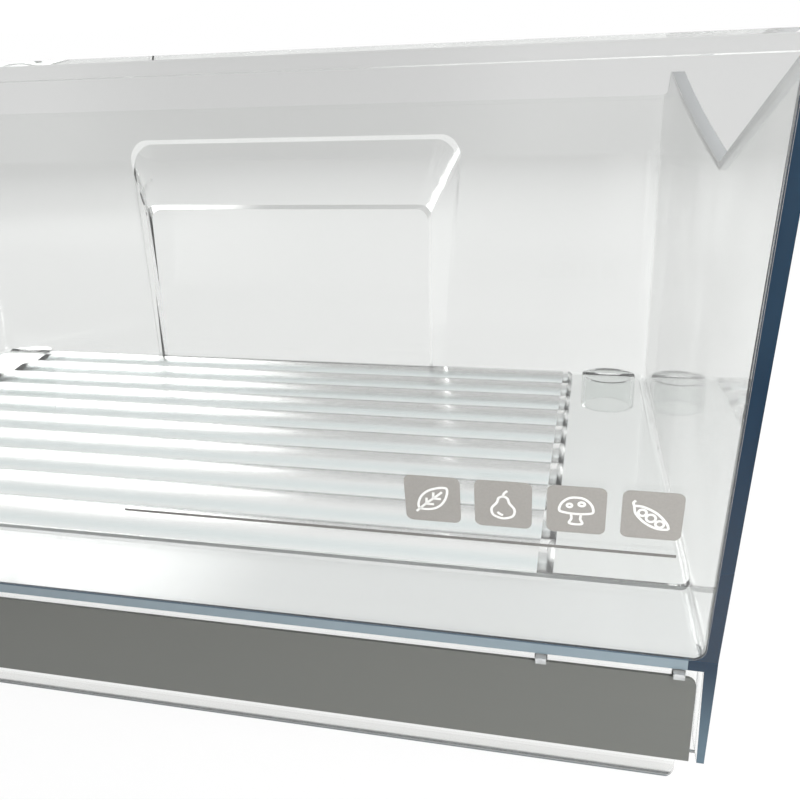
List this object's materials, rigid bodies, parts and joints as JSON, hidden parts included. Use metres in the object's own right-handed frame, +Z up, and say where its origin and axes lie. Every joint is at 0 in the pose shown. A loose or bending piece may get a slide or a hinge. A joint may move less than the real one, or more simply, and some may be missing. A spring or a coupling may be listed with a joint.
{
  "type": "refrigerator crisper drawer",
  "caption": "Clear full-width crisper drawer with a leaning window front, a waved floor, dipped side rims, rear feet and a metal-look grip strip.",
  "frame": {"origin": "under the middle of the drawer, level with its lowest edge", "axes": "+X across the drawer, +Y from the front panel to the back wall, +Z up"},
  "size_m": [0.508, 0.38, 0.2406],
  "materials": {
    "clear_tub": "clear, polished, faint blue tint in the edges",
    "clear_front": "clear, polished, blue tint in the edges",
    "clear_carrier": "clear, polished",
    "trim_metallic": "satin warm grey"
  },
  "bodies": {
    "root": {"drawer_tub": "clear_tub", "front_panel": "clear_front", "grip_carrier": "clear_carrier", "grip_trim": "trim_metallic"}
  },
  "joints": []
}
